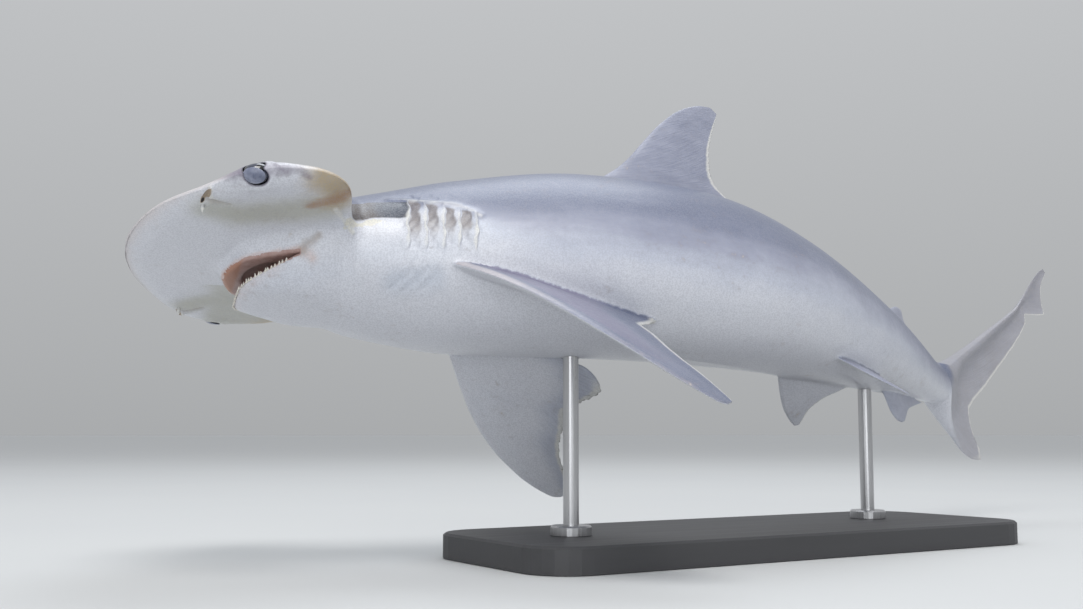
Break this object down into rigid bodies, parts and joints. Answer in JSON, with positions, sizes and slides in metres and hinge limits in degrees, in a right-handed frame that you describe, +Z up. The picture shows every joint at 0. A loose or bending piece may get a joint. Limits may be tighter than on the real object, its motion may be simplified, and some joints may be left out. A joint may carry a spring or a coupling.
{
  "type": "bonnethead shark display model",
  "caption": "Life-size still model of a small hammerhead shark in a swimming bend, mouth slightly open, on a plain flat base with two upright rods.",
  "frame": {"origin": "centre of the underside of the stand's base", "axes": "+Z up, the shark's snout towards -X, its tail towards +X and its left side towards -Y"},
  "size_m": [0.9191, 0.3171, 0.3104],
  "materials": {
    "skin_grey": "satin painted skin",
    "skin_pale": "satin painted skin",
    "fin_grey": "satin painted skin",
    "eye": "glossy",
    "eyelid": "satin",
    "stand_board": "painted, matt",
    "stand_steel": "brushed"
  },
  "bodies": {
    "root": {"head": "skin_grey", "lower_jaw": "skin_pale", "throat": "skin_grey", "trunk": "skin_grey", "tail_stock": "skin_grey", "caudal_fin": "fin_grey", "first_dorsal_fin": "fin_grey", "second_dorsal_fin": "fin_grey", "anal_fin": "fin_grey", "pectoral_fin_left": "fin_grey", "pectoral_fin_right": "fin_grey", "pelvic_fin_left": "fin_grey", "pelvic_fin_right": "fin_grey", "eye_left": "eye", "eyelid_left": "eyelid", "eye_right": "eye", "eyelid_right": "eyelid", "stand_base": "stand_board", "stand_rod_front": "stand_steel", "stand_rod_rear": "stand_steel"}
  },
  "joints": []
}
